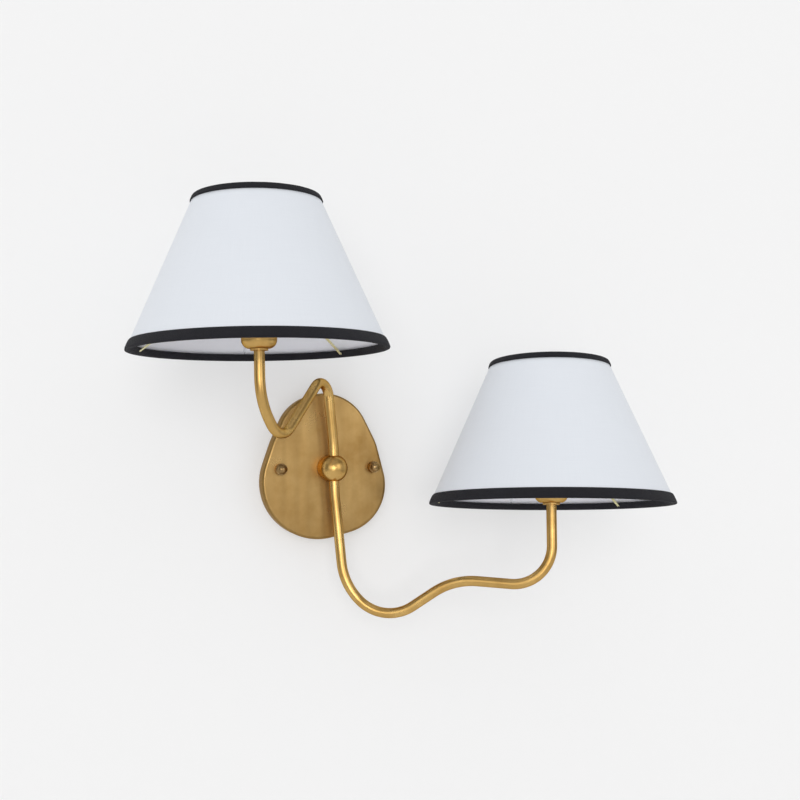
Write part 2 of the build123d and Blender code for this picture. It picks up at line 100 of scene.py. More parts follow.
def stand(name: str, data: bpy.types.ID) -> bpy.types.Object:
    """Make an object and put it in the scene.

    Args:
        name: its name.
        data: its mesh, curve, light or camera.

    Returns:
        The object.
    """
    made = bpy.data.objects.new(name, data)
    bpy.context.scene.collection.objects.link(made)
    return made


# ---- shader graphs -----------------------------------------------------------------------------


class Graph:
    """The node tree of a material or world, written as short calls that return sockets."""

    def __init__(self, owner: bpy.types.Material | bpy.types.World) -> None:
        """Start an empty tree.

        Args:
            owner: the material or world.
        """
        self.owner = owner
        owner.use_nodes = True
        self.tree = owner.node_tree
        self.tree.nodes.clear()

    def add(self, kind: str, **settings: Any) -> bpy.types.Node:
        """Add a node.

        Args:
            kind: the node's type, without the ShaderNode prefix.
            settings: properties of the node.

        Returns:
            The node.
        """
        node = self.tree.nodes.new("ShaderNode" + kind)
        for key, value in settings.items():
            setattr(node, key, value)
        return node

    def put(self, socket: Socket, value: Any) -> None:
        """Link a socket into an input, or set the input to a plain value.

        Args:
            socket: the input.
            value: an output socket, a number or a tuple.
        """
        if isinstance(value, Socket):
            self.tree.links.new(value, socket)
        elif isinstance(value, tuple) and socket.type == "RGBA":
            socket.default_value = (*value, 1.0)
        else:
            socket.default_value = value

    def stretched(self, coords: Socket, scale: Triple) -> Socket:
        """Coordinates with a pattern's scale along each axis.

        Args:
            coords: the coordinates.
            scale: how many times finer the pattern is along each axis.

        Returns:
            The stretched coordinates.
        """
        mapping = self.add("Mapping")
        self.put(mapping.inputs["Vector"], coords)
        mapping.inputs["Scale"].default_value = scale
        return mapping.outputs["Vector"]

    def object_coords(self, scale: Triple = (1.0, 1.0, 1.0)) -> Socket:
        """Object coordinates in metres, stretched by a scale."""
        return self.stretched(self.add("TexCoord").outputs["Object"], scale)

    def uv_coords(self, scale: Triple = (1.0, 1.0, 1.0)) -> Socket:
        """The piece's own UV map in metres along and across the cloth, stretched by a scale."""
        return self.stretched(self.add("UVMap").outputs["UV"], scale)

    def noise(self, coords: Socket, scale: float, detail: float, rough: float = 0.5) -> Socket:
        """Soft noise, from 0 to 1.

        Args:
            coords: where it is read.
            scale: how many blotches fit in a metre.
            detail: octaves of finer noise.
            rough: how strong the finer octaves are.

        Returns:
            The noise.
        """
        node = self.add("TexNoise")
        self.put(node.inputs["Vector"], coords)
        node.inputs["Scale"].default_value = scale
        node.inputs["Detail"].default_value = detail
        node.inputs["Roughness"].default_value = rough
        return node.outputs[0]

    def math(self, operation: str, first: Any, second: Any = 0.0) -> Socket:
        """One sum.

        Args:
            operation: the Math node's operation.
            first: a socket or number.
            second: a socket or number.

        Returns:
            The result.
        """
        node = self.add("Math", operation=operation)
        self.put(node.inputs[0], first)
        self.put(node.inputs[1], second)
        return node.outputs[0]

    def spread(self, value: Socket, part: Pair, into: tuple[Any, Any]) -> Socket:
        """Stretch a part of a value's range over a new range.

        Args:
            value: the value.
            part: what becomes the start and the end of the new range.
            into: the new range, as numbers or sockets.

        Returns:
            The stretched value.
        """
        node = self.add("MapRange")
        for place, number in enumerate((value, *part, *into)):
            self.put(node.inputs[place], number)
        return node.outputs[0]

    def tint(self, factor: Any, first: Any, second: Any, blend: str = "MIX") -> Socket:
        """Mix two colours.

        Args:
            factor: how much of the second.
            first: a colour or socket.
            second: a colour or socket.
            blend: the way of mixing.

        Returns:
            The colour.
        """
        node = self.add("Mix", data_type="RGBA", blend_type=blend)
        self.put(node.inputs[0], factor)
        self.put(node.inputs[MIX_FIRST], first)
        self.put(node.inputs[MIX_SECOND], second)
        return node.outputs[MIX_RESULT]

    def bump(self, height: Socket, depth: float) -> Socket:
        """Relief from a height of 0 to 1.

        Args:
            height: the height.
            depth: the relief's depth in metres.

        Returns:
            The normal.
        """
        node = self.add("Bump")
        node.inputs["Strength"].default_value = 1.0
        node.inputs["Distance"].default_value = depth
        self.put(node.inputs["Height"], height)
        return node.outputs["Normal"]

    def finish(self, **values: Any) -> bpy.types.Material:
        """Close a material's graph with its shader.

        Args:
            values: the shader's inputs, with _ for each space in a socket's name.

        Returns:
            The material.
        """
        shader = self.add("BsdfPrincipled")
        for key, value in values.items():
            self.put(shader.inputs[key.replace("_", " ")], value)
        self.close(shader.outputs["BSDF"])
        return self.owner

    def close(self, surface: Socket, kind: str = "Material") -> None:
        """Lead a shader to the tree's output, which is for a Material or a World."""
        self.put(self.add("Output" + kind).inputs["Surface"], surface)


# ---- finishes ----------------------------------------------------------------------------------


@dataclass(frozen=True)
class Metal:
    """A metal with blotches of tarnish, a directional grain and a little wander in its gloss."""

    name: str
    pale: Colour
    deep: Colour
    edge: Colour
    blotch: float
    gloss: Pair
    blotch_detail: float = 4.0
    blotch_rough: float = 0.6
    tarnished: Pair = (0.35, 0.68)
    grain: Triple = (900.0, 900.0, 40.0)
    grain_detail: float = 2.0
    grain_depth: float = 0.004 * MM
    grain_tint: float = 0.10

    def build(self) -> bpy.types.Material:
        """Make the material.

        Returns:
            The material.
        """
        graph = Graph(bpy.data.materials.new(self.name))
        place = graph.object_coords()
        cloud = graph.noise(place, self.blotch, self.blotch_detail, self.blotch_rough)
        streak = graph.noise(graph.object_coords(self.grain), 1.0, self.grain_detail)
        tarnish = graph.spread(cloud, self.tarnished, WHOLE)
        colour = graph.tint(tarnish, self.pale, self.deep)
        tints = (1.0 - self.grain_tint, 1.0 + self.grain_tint)
        streaked = graph.spread(streak, MOST_NOISE, tints)
        shade = graph.add("CombineColor")
        for channel in shade.inputs:
            graph.put(channel, streaked)
        colour = graph.tint(1.0, colour, shade.outputs[0], "MULTIPLY")
        rough = graph.spread(cloud, MOST_NOISE, self.gloss)
        relief = {"Normal": graph.bump(streak, self.grain_depth)} if self.grain_depth else {}
        return graph.finish(
            Base_Color=colour,
            Metallic=1.0,
            Roughness=rough,
            Specular_Tint=self.edge,
            **relief,
        )


@dataclass(frozen=True)
class Moulding:
    """A moulded plastic or an insulated wire's cover, with a faint mottle and orange peel."""

    name: str
    colour: Colour
    fleck: Colour
    gloss: Pair = (0.32, 0.45)
    peel: float = 0.01 * MM
    fleck_scale: float = 900.0
    fleck_detail: float = 2.0
    flecked: Pair = (0.55, 0.75)
    fleck_share: float = 0.6
    mottle_scale: float = 60.0
    mottle_detail: float = 3.0

    def build(self) -> bpy.types.Material:
        """Make the material.

        Returns:
            The material.
        """
        graph = Graph(bpy.data.materials.new(self.name))
        place = graph.object_coords()
        fine = graph.noise(place, self.fleck_scale, self.fleck_detail)
        broad = graph.noise(place, self.mottle_scale, self.mottle_detail)
        flecks = graph.spread(fine, self.flecked, (0.0, self.fleck_share))
        return graph.finish(
            Base_Color=graph.tint(flecks, self.colour, self.fleck),
            Roughness=graph.spread(broad, MOST_NOISE, self.gloss),
            Normal=graph.bump(fine, self.peel),
        )


@dataclass(frozen=True)
class Woven:
    """A cloth with warp and weft at their real pitch, thicker threads here and there, and nap."""

    name: str
    pale: Colour
    deep: Colour
    pitch: Pair
    depth: float
    sheen: float
    rough: float = 0.9
    sheen_rough: float = 0.5
    specular: float = 0.25
    slub: float = 0.5
    slub_scales: Pair = (1600.0, 30.0)
    slub_detail: float = 2.0
    slub_tinted: Pair = (0.3, 1.7)
    stain: float = 0.25
    stain_scale: float = 24.0
    stain_detail: float = 4.0
    stain_rough: float = 0.6
    stained: Pair = (0.35, 0.75)
    diagonal: bool = False

    def build(self) -> bpy.types.Material:
        """Make the material.

        Returns:
            The material.
        """
        graph = Graph(bpy.data.materials.new(self.name))
        split = graph.add("SeparateXYZ")
        graph.put(split.inputs[0], graph.uv_coords())
        along, across = split.outputs[0], split.outputs[1]
        if self.diagonal:
            along, across = graph.math("ADD", along, across), graph.math("SUBTRACT", along, across)
        threads = []
        for reach, pitch in zip((along, across), self.pitch):
            wave = graph.math("SINE", graph.math("MULTIPLY", reach, math.tau / pitch))
            threads.append(graph.spread(wave, (-1.0, 1.0), WHOLE))
        weave = graph.math("MULTIPLY", *threads)
        fine, coarse = self.slub_scales
        warp = graph.noise(graph.uv_coords((fine, coarse, 1.0)), 1.0, self.slub_detail)
        weft = graph.noise(graph.uv_coords((coarse, fine, 1.0)), 1.0, self.slub_detail)
        slub = graph.math("MULTIPLY", graph.math("ADD", warp, weft), self.slub)
        height = graph.math("ADD", weave, slub)
        low, high = self.slub_tinted
        thread_tint = graph.spread(slub, (low * self.slub, high * self.slub), WHOLE)
        colour = graph.tint(thread_tint, self.pale, self.deep)
        place = graph.uv_coords()
        cloud = graph.noise(place, self.stain_scale, self.stain_detail, self.stain_rough)
        stain = graph.spread(cloud, self.stained, (0.0, self.stain))
        colour = graph.tint(stain, colour, self.deep)
        return graph.finish(
            Base_Color=colour,
            Roughness=self.rough,
            Sheen_Weight=self.sheen,
            Sheen_Roughness=self.sheen_rough,
            Specular_IOR_Level=self.specular,
            Normal=graph.bump(height, self.depth),
        )


Finish = Metal | Moulding | Woven

PLATE_BRASS = Metal(
    name="satin_aged_brass",
    pale=(0.43, 0.275, 0.105),
    deep=(0.30, 0.175, 0.056),
    edge=(0.80, 0.62, 0.36),
    blotch=26.0,
    gloss=(0.26, 0.36),
    grain=(110.0, 110.0, 12.0),
    grain_tint=0.09,
    grain_depth=0.01 * MM,
)
TUBE_BRASS = Metal(
    name="polished_aged_brass",
    pale=(0.76, 0.49, 0.170),
    deep=(0.60, 0.36, 0.110),
    edge=(0.55, 0.40, 0.24),
    blotch=34.0,
    gloss=(0.25, 0.34),
    grain=(90.0, 90.0, 60.0),
    grain_tint=0.05,
    grain_depth=0.0,
)
NUT_BRASS = Metal(
    name="antique_dark_brass",
    pale=(0.54, 0.36, 0.165),
    deep=(0.26, 0.16, 0.062),
    edge=(0.6, 0.45, 0.25),
    blotch=180.0,
    gloss=(0.24, 0.36),
)
WIRE_BRASS = Metal(
    name="pale_brass_wire",
    pale=(0.93, 0.90, 0.60),
    deep=(0.80, 0.74, 0.42),
    edge=(0.6, 0.55, 0.35),
    blotch=120.0,
    gloss=(0.22, 0.34),
)
CONTACT_BRASS = Metal(
    name="bright_contact_brass",
    pale=(0.72, 0.56, 0.28),
    deep=(0.60, 0.43, 0.18),
    edge=(0.8, 0.7, 0.5),
    blotch=90.0,
    gloss=(0.20, 0.32),
)
ZINC = Metal(
    name="zinc_plate",
    pale=(0.62, 0.63, 0.64),
    deep=(0.46, 0.47, 0.49),
    edge=(0.8, 0.8, 0.8),
    blotch=140.0,
    gloss=(0.30, 0.46),
    grain=(60.0, 500.0, 500.0),
)
EARTH_GREEN = Metal(
    name="green_dyed_zinc",
    pale=(0.10, 0.40, 0.16),
    deep=(0.05, 0.26, 0.09),
    edge=(0.6, 0.8, 0.6),
    blotch=240.0,
    gloss=(0.28, 0.42),
)
PHENOLIC = Moulding("black_phenolic", (0.020, 0.020, 0.022), (0.040, 0.038, 0.036))
SPLICE_ORANGE = Moulding(
    "orange_splice_cap", (0.62, 0.20, 0.030), (0.70, 0.26, 0.06), (0.38, 0.50)
)
LEAD_BLACK = Moulding("black_wire_cover", (0.025, 0.025, 0.027), (0.05, 0.05, 0.05), (0.35, 0.48))
LEAD_WHITE = Moulding("white_wire_cover", (0.74, 0.74, 0.71), (0.66, 0.66, 0.63), (0.35, 0.48))
SHADE_CLOTH = Woven(
    name="white_shade_cloth",
    pale=(0.825, 0.860, 0.910),
    deep=(0.775, 0.808, 0.862),
    pitch=(0.52 * MM, 0.60 * MM),
    depth=0.05 * MM,
    sheen=0.22,
)
# A real white liner, made lighter still to stand in for the light that shines through the cloth
# into the shade: painted light.
SHADE_LINER = Moulding(
    "white_liner", (0.92, 0.93, 0.99), (0.90, 0.91, 0.97), (0.45, 0.60), 0.004 * MM
)
BINDING_CLOTH = Woven(
    name="black_binding_cloth",
    pale=(0.021, 0.021, 0.027),
    deep=(0.010, 0.010, 0.014),
    pitch=(0.80 * MM, 0.80 * MM),
    depth=0.20 * MM,
    sheen=0.04,
    slub=0.35,
    stain=0.5,
    diagonal=True,
)


class Wardrobe:
    """Every finish, built once and then shared."""

    def __init__(self) -> None:
        """Start with nothing built."""
        self._built: dict[str, bpy.types.Material] = {}

    def get(self, finish: Finish) -> bpy.types.Material:
        """The material of a finish.

        Args:
            finish: the finish.

        Returns:
            Its material.
        """
        if finish.name not in self._built:
            self._built[finish.name] = finish.build()
        return self._built[finish.name]


# ---- geometry node trees -----------------------------------------------------------------------


class Recipe:
    """A Geometry Nodes tree with named sizes, which bakes to a plain mesh."""

    def __init__(self, name: str) -> None:
        """Start an empty tree.

        Args:
            name: the tree's name.
        """
        self.tree = bpy.data.node_groups.new(name, "GeometryNodeTree")
        self.tree.interface.new_socket(
            "Geometry", in_out="OUTPUT", socket_type="NodeSocketGeometry"
        )
        self.entry = self.tree.nodes.new("NodeGroupInput")
        self.sockets: dict[str, str] = {}

    def size(self, name: str, kind: str = "Float") -> Socket:
        """Add a named input.

        Args:
            name: the input's name.
            kind: the socket's type, without the NodeSocket prefix.

        Returns:
            The socket to link from.
        """
        item = self.tree.interface.new_socket(
            name, in_out="INPUT", socket_type="NodeSocket" + kind
        )
        self.sockets[name] = item.identifier
        return self.entry.outputs[name]

    def add(
        self, kind: str, inputs: dict[str | int, Any] | None = None, **settings: Any
    ) -> bpy.types.Node:
        """Add a node.

        Args:
            kind: the node's full type name.
            inputs: values or sockets for its inputs, by name or place.
            settings: properties of the node.

        Returns:
            The node.
        """
        node = self.tree.nodes.new(kind)
        for key, value in settings.items():
            setattr(node, key, value)
        for key, value in (inputs or {}).items():
            socket = node.inputs[key]
            if isinstance(value, Socket):
                self.tree.links.new(value, socket)
            else:
                socket.default_value = value
        return node

    def math(self, operation: str, first: Any, second: Any = 0.0) -> Socket:
        """The result of a Math node's operation on sockets or numbers."""
        return self.add("ShaderNodeMath", {0: first, 1: second}, operation=operation).outputs[0]

    def lean(self, geometry: Socket) -> Socket:
        """Move what stands upright at the origin onto an axis that may lean.

        Args:
            geometry: what the tree made, round the Z axis.

        Returns:
            The geometry in its place.
        """
        turn = self.add("FunctionNodeEulerToRotation", {0: self.size("Lean", "Vector")})
        placed = self.add(
            "GeometryNodeTransform",
            {
                "Geometry": geometry,
                "Translation": self.size("Foot", "Vector"),
                "Rotation": turn.outputs[0],
            },
        )
        return placed.outputs[0]

    def close(self, geometry: Socket) -> "Recipe":
        """End the tree by making instances real and giving the material.

        Args:
            geometry: what the tree made.

        Returns:
            The recipe.
        """
        material = self.size("Material", "Material")
        real = self.add("GeometryNodeRealizeInstances", {"Geometry": geometry})
        dressed = self.add(
            "GeometryNodeSetMaterial", {"Geometry": real.outputs[0], "Material": material}
        )
        output = self.tree.nodes.new("NodeGroupOutput")
        self.tree.links.new(dressed.outputs[0], output.inputs[0])
        return self

    def bake(self, name: str, sizes: dict[str, Any]) -> bpy.types.Object:
        """Run the tree and keep its result as a plain mesh object.

        Args:
            name: the new object's name.
            sizes: a value for each named input.

        Returns:
            The object, at the origin, on no body yet.
        """
        carrier = stand(name + "_carrier", bpy.data.meshes.new(name + "_carrier"))
        modifier = carrier.modifiers.new("recipe", "NODES")
        modifier.node_group = self.tree
        for key, value in sizes.items():
            modifier[self.sockets[key]] = value
        bpy.context.view_layer.update()
        graph = bpy.context.evaluated_depsgraph_get()
        mesh = bpy.data.meshes.new_from_object(carrier.evaluated_get(graph), depsgraph=graph)
        mesh.name = name
        bpy.data.objects.remove(carrier)
        return stand(name, mesh)


def profile_curve(name: str, points: Sequence[Pair], ring: bool = False) -> bpy.types.Object:
    """A half section as a straight-sided curve, for the turning tree to read.

    Args:
        name: the curve's name.
        points: radius and height along the section, in metres.
        ring: whether the last point joins the first.

    Returns:
        The curve's object.
    """
    curve = bpy.data.curves.new(name, "CURVE")
    curve.dimensions = "3D"
    spline = curve.splines.new("POLY")
    spline.points.add(len(points) - 1)
    for point, (radius, height) in zip(spline.points, points):
        point.co = (radius, 0.0, height, 1.0)
    spline.use_cyclic_u = ring
    return stand(name, curve)


def rounded(points: Sequence[Pair], radius: float, steps: int) -> list[Pair]:
    """Round the inner corners of a run of points.

    Args:
        points: the corners.
        radius: how far from a corner its curve starts, at most.
        steps: how many pieces each curve has.

    Returns:
        The points of the rounded run.
    """
    corners = [Vector(point) for point in points]
    result = [corners[0]]
    for before, corner, after in zip(corners, corners[1:], corners[2:]):
        reach = min(radius, (corner - before).length / 2, (after - corner).length / 2)
        start = corner + (before - corner).normalized() * reach
        end = corner + (after - corner).normalized() * reach
        for step in range(steps + 1):
            t = step / steps
            result.append(start * (1 - t) ** 2 + corner * 2 * t * (1 - t) + end * t**2)
    result.append(corners[-1])
    return [(point.x, point.y) for point in result]


def turning_recipe() -> Recipe:
    """The tree that turns a section about a lamp's axis, with a map in real metres.

    Returns:
        The recipe, with its named sizes.
    """
    recipe = Recipe("turned_form")
    profile = recipe.size("Profile", "Object")
    around = recipe.size("Around", "Int")
    rows = recipe.size("Rows", "Int")
    start = recipe.size("Start Angle")
    ripple = recipe.size("Ripple")
    ripple_size = recipe.size("Ripple Size")
    lap = recipe.size("Lap")
    lap_share = recipe.size("Lap Share")
    grid = recipe.add(
        "GeometryNodeMeshGrid",
        {
            "Size X": 2 * GRID_HALF,
            "Size Y": 2 * GRID_HALF,
            "Vertices X": around,
            "Vertices Y": rows,
        },
    )
    position = recipe.add("GeometryNodeInputPosition").outputs[0]
    place = recipe.add("ShaderNodeSeparateXYZ", {0: position})
    turn = recipe.math("ADD", place.outputs[0], GRID_HALF)
    share = recipe.math("ADD", place.outputs[1], GRID_HALF)
    info = recipe.add("GeometryNodeObjectInfo", {"Object": profile})
    sample = recipe.add(
        "GeometryNodeSampleCurve",
        {"Curves": info.outputs["Geometry"], "Factor": share},
        mode="FACTOR",
    )
    point = recipe.add("ShaderNodeSeparateXYZ", {0: sample.outputs["Position"]})
    turned = recipe.math("MULTIPLY", turn, math.tau)
    angle = recipe.math("ADD", turned, start)
    flat = recipe.math("MULTIPLY", lap_share, LAP_FLAT)
    lapped = recipe.add(
        "ShaderNodeMapRange",
        {"Value": turn, "From Min": flat, "From Max": lap_share, "To Min": lap, "To Max": 0.0},
    )
    cosine = recipe.math("COSINE", angle)
    sine = recipe.math("SINE", angle)
    spot = recipe.add(
        "ShaderNodeCombineXYZ",
        {
            0: recipe.math("MULTIPLY", cosine, point.outputs[0]),
            1: recipe.math("MULTIPLY", sine, point.outputs[0]),
            2: point.outputs[2],
        },
    )
    wander = recipe.add(
        "ShaderNodeTexNoise",
        {"Vector": spot.outputs[0], "Scale": ripple_size, "Detail": RIPPLE_DETAIL},
    )
    off_middle = recipe.math("SUBTRACT", wander.outputs[0], NOISE_MIDDLE)
    reach = recipe.math("DIVIDE", ripple, NOISE_MIDDLE)
    swell = recipe.math("MULTIPLY", off_middle, reach)
    radius = recipe.math("ADD", recipe.math("ADD", point.outputs[0], swell), lapped.outputs[0])
    final = recipe.add(
        "ShaderNodeCombineXYZ",
        {
            0: recipe.math("MULTIPLY", cosine, radius),
            1: recipe.math("MULTIPLY", sine, radius),
            2: point.outputs[2],
        },
    )
    length = recipe.add("GeometryNodeCurveLength", {"Curve": info.outputs["Geometry"]})
    cloth = recipe.add(
        "ShaderNodeCombineXYZ",
        {
            0: recipe.math("MULTIPLY", turned, recipe.size("Map Radius")),
            1: recipe.math("MULTIPLY", share, length.outputs[0]),
        },
    )
    mapped = recipe.add(
        "GeometryNodeStoreNamedAttribute",
        {"Geometry": grid.outputs["Mesh"], "Name": "UVMap", "Value": cloth.outputs[0]},
        data_type="FLOAT2",
        domain="CORNER",
    )
    moved = recipe.add(
        "GeometryNodeSetPosition", {"Geometry": mapped.outputs[0], "Position": final.outputs[0]}
    )
    joined = recipe.add(
        "GeometryNodeMergeByDistance", {"Geometry": moved.outputs[0], "Distance": WELD}
    )
    smooth = recipe.add("GeometryNodeSetShadeSmooth", {"Geometry": joined.outputs[0]})
    return recipe.close(recipe.lean(smooth.outputs[0]))


def thread_recipe() -> Recipe:
    """The tree that winds a screw thread round a lamp's axis.

    Returns:
        The recipe, with its named sizes.
    """
    recipe = Recipe("screw_thread")
    radius = recipe.size("Radius")
    spiral = recipe.add(
        "GeometryNodeCurveSpiral",
        {
            "Resolution": THREAD_STEPS,
            "Rotations": recipe.size("Turns"),
            "Start Radius": radius,
            "End Radius": radius,
            "Height": recipe.size("Height"),
        },
    )
    section = recipe.add(
        "GeometryNodeCurvePrimitiveCircle",
        {"Resolution": RIDGE_SIDES, "Radius": recipe.size("Ridge")},
    )
    wound = recipe.add(
        "GeometryNodeCurveToMesh",
        {"Curve": spiral.outputs[0], "Profile Curve": section.outputs[0], "Fill Caps": True},
    )
    smooth = recipe.add("GeometryNodeSetShadeSmooth", {"Geometry": wound.outputs[0]})
    return recipe.close(recipe.lean(smooth.outputs[0]))


@dataclass(frozen=True)
class Stem:
    """The axis that a lampholder and its shade are turned about."""

    foot: Vector
    heading: Vector

    @classmethod
    def of_side(cls, frame: dict[str, Any], side: Side) -> "Stem":
        """The axis of one side's lamp, with its foot level with the shade's lowest edge.

        Args:
            frame: the loaded frame.
            side: which end of the sconce.

        Returns:
            The stem.
        """
        turn = next(j for j in frame["joints"] if j["name"] == f"{side.value}_shade_turn")
        loose = cls(Vector(turn["pos_m"]), Vector(turn["axis"]).normalized())
        low = loose.span(frame["nodes"][f"{side.value}_bottom_trim"])[0]
        return cls(loose.at(low), loose.heading)

    def at(self, height: float) -> Vector:
        """The point of the axis at a height above the foot."""
        return self.foot + self.heading * height

    def places(self, node: bpy.types.Object) -> list[Pair]:
        """Radius and height of every point of a CAD node.

        Args:
            node: the node's object.

        Returns:
            The pairs.
        """
        found = []
        for vertex in node.data.vertices:
            away = vertex.co - self.foot
            height = away.dot(self.heading)
            found.append(((away - self.heading * height).length, height))
        return found

    def span(self, node: bpy.types.Object) -> Pair:
        """The heights of a CAD node's lowest and highest points along the axis."""
        heights = [height for _, height in self.places(node)]
        return min(heights), max(heights)

    def widest(self, node: bpy.types.Object, height: float) -> float:
        """The largest radius that a CAD node has at a height."""
        return max(r for r, h in self.places(node) if abs(h - height) < NEAR)

    def sizes(self, height: float = 0.0) -> dict[str, Any]:
        """What a tree needs to stand a piece on the axis, with its own zero at a height."""
        lean = Vector((0.0, 0.0, 1.0)).rotation_difference(self.heading).to_euler()
        return {"Foot": tuple(self.at(height)), "Lean": tuple(lean)}


@dataclass
class Workshop:
    """The finishes and the trees, which every sub-assembly shares."""

    wardrobe: Wardrobe
    turned: Recipe
    thread: Recipe
    around: int = 257  # points round a turned piece, one more than its faces

    def turn(
        self,
        name: str,
        section: Sequence[Pair],
        stem: Stem,
        finish: Finish,
        rows: int,
        map_radius: float,
        ripple: Pair,
        lap: Pair = (0.0, 0.0),
        ring: bool = False,
    ) -> bpy.types.Object:
        """Turn a section about a stem.

        Args:
            name: the piece's name.
            section: radius and height along the section, in metres.
            stem: the axis.
            finish: the piece's finish.
            rows: how many rows of points follow the section.
            map_radius: the radius at which the map's lengths are true.
            ripple: how far the surface wanders, and how many waves fit in a metre.
            lap: how far a lapped edge stands up, and what share of the turn it covers.
            ring: whether the section's last point joins its first.

        Returns:
            The piece.
        """
        profile = profile_curve(name + "_profile", section, ring)
        made = self.turned.bake(
            name,
            {
                "Profile": profile,
                "Around": self.around,
                "Rows": rows,
                "Start Angle": WALL_ANGLE,
                "Ripple": ripple[0],
                "Ripple Size": ripple[1],
                "Lap": lap[0],
                "Lap Share": max(lap[1], LEAST_LAP),
                "Map Radius": map_radius,
                "Material": self.wardrobe.get(finish),
                **stem.sizes(),
            },
        )
        bpy.data.objects.remove(profile)
        return made


# ---- sub-assemblies ----------------------------------------------------------------------------


@dataclass
class Assembly:
    """A part of the sconce, with what it is made from."""

    shop: Workshop
    nodes: Nodes

    def full(self, name: str) -> str:
        """The full name of a node or piece that goes by a short name in this assembly."""
        return name

    def dress(self, names: Iterable[str], finish: Finish) -> None:
        """Put a finish on CAD nodes.

        Args:
            names: their names in this assembly.
            finish: the finish.
        """
        for name in map(self.full, names):
            mesh = self.nodes[name].data
            mesh.materials.clear()
            mesh.materials.append(self.shop.wardrobe.get(finish))
            LOG.info("dressed %s in %s", name, finish.name)


@dataclass
class Canopy(Assembly):
    """The pan on the wall, and what holds it there."""

    zinc_nodes: tuple[str, ...] = (
        "hub_nipple",
        "nipple_washer",
        "nipple_nut",
        "wall_bracket",
        "bracket_studs",
        "stud_nuts",
    )

    def build(self) -> None:
        """Dress the pan, its screws and the thumb nuts."""
        self.dress(["backplate"], PLATE_BRASS)
        self.dress(self.zinc_nodes, ZINC)
        self.dress(["ground_screw"], EARTH_GREEN)
        self.dress(["wire_connectors"], SPLICE_ORANGE)
        self.dress(["left_thumb_nut", "right_thumb_nut"], NUT_BRASS)


@dataclass
class Arms(Assembly):
    """The hub, the two bent tubes and the wires inside them."""

    def build(self) -> None:
        """Dress the tubes, the hub and the leads."""
        self.dress(["hub", "upper_arm", "lower_arm"], TUBE_BRASS)
        self.dress(["upper_lead"], LEAD_BLACK)
        self.dress(["lower_lead"], LEAD_WHITE)


@dataclass
class Lamp(Assembly):
    """What stands on one stem, where each name goes without its side."""

    side: Side
    stem: Stem

    def full(self, name: str) -> str:
        """A name with its side."""
        return f"{self.side.value}_{name}"

    def node(self, name: str) -> bpy.types.Object:
        """The CAD node that goes by a name on this side."""
        return self.nodes[self.full(name)]


@dataclass
class Holder(Lamp):
    """A lampholder on the end of its arm, with its cup and seat ring."""

    thread_pitch: float = 1.6 * MM
    thread_ridge: float = 0.42 * MM
    shell_pitch: float = 2.82 * MM
    shell_ridge: float = 0.62 * MM
    shell_margin: float = 2.0 * MM

    def build(self) -> None:
        """Dress the holder and cut its threads."""
        self.dress(["seat_ring", "socket_cup"], TUBE_BRASS)
        self.dress(["lampholder", "shade_ring"], PHENOLIC)
        self.dress(["screw_shell", "centre_contact"], CONTACT_BRASS)
        self.neck_thread()
        self.shell_thread()

    def neck_thread(self) -> None:
        """Wind the thread on the neck, above the ring that clamps the shade."""
        foot = self.stem.span(self.node("shade_ring"))[1] + 2 * self.thread_ridge
        top = self.stem.span(self.node("lampholder"))[1]
        radius = self.stem.widest(self.node("lampholder"), top)
        height = top - self.thread_ridge - foot
        form = (self.thread_pitch, self.thread_ridge)
        self.wind("neck_thread", foot, radius, height, form, PHENOLIC)

    def shell_thread(self) -> None:
        """Wind the rolled thread inside the screw shell."""
        low, high = self.stem.span(self.node("screw_shell"))
        radius = min(r for r, _ in self.stem.places(self.node("screw_shell")))
        foot = low + self.shell_margin
        height = high - self.shell_margin - foot
        form = (self.shell_pitch, self.shell_ridge)
        self.wind("shell_thread", foot, radius, height, form, CONTACT_BRASS)

    def wind(
        self, name: str, foot: float, radius: float, height: float, form: Pair, finish: Finish
    ) -> None:
        """Wind a thread and fix it to the fixture.

        Args:
            name: the piece's name, without its side.
            foot: the height at which the thread starts.
            radius: the radius of the ridge's middle line.
            height: how far it climbs.
            form: how far it climbs in a turn, and the radius of its ridge.
            finish: its finish.
        """
        pitch, ridge = form
        made = self.shop.thread.bake(
            self.full(name),
            {
                "Turns": height / pitch,
                "Radius": radius,
                "Height": height,
                "Ridge": ridge,
                "Material": self.shop.wardrobe.get(finish),
                **self.stem.sizes(foot),
            },
        )
        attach(made, "fixture")
        LOG.info("wound %s, %.1f turns", made.name, height / pitch)


@dataclass(frozen=True)
class Cone:
    """The outside of a shade's cloth, whose radius runs straight from one edge to the other."""

    low: float
    high: float
    foot: float
    head: float

    def radius(self, height: float) -> float:
        """The radius at a height above the stem's foot, also beyond the edges."""
        return self.foot + (self.head - self.foot) * (height - self.low) / (self.high - self.low)

    @property
    def edges(self) -> list[Pair]:
        """Radius and height of its two edges."""
        return [(self.foot, self.low), (self.head, self.high)]


